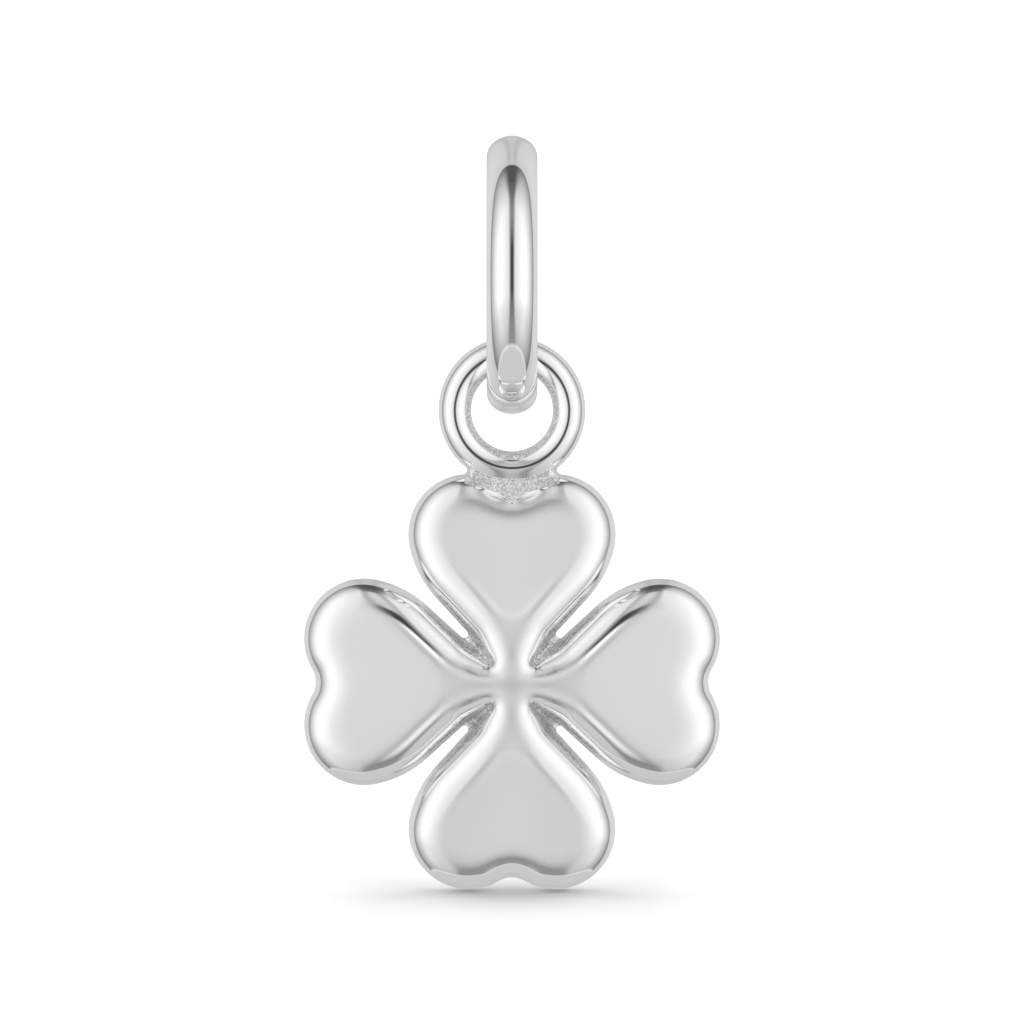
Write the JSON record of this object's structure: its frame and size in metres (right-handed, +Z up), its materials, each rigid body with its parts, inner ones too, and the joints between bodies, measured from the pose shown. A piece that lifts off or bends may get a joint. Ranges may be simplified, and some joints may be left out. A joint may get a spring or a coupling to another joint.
{
  "type": "four leaf clover pendant",
  "caption": "Polished cast silver clover with heart-shaped leaves and an eye at the top, hanging from a closed round bail ring.",
  "frame": {"origin": "inside of the top of the bail ring, where a chain lies", "axes": "+X to the right in the picture, +Y away from the viewer, +Z up"},
  "size_m": [0.012, 0.008, 0.0217],
  "materials": {
    "clover_silver": "polished faces, as cast in the hollows",
    "ring_silver": "mirror polish"
  },
  "bodies": {
    "bail": {"bail_ring": "ring_silver"},
    "drop": {"clover": "clover_silver"}
  },
  "joints": [
    {"name": "clover_swing", "type": "hinge", "parent": "bail", "child": "drop", "pos_m": [0, 0, -0.00666], "axis": [0, 1, 0], "range_deg": [-120, 120]}
  ]
}
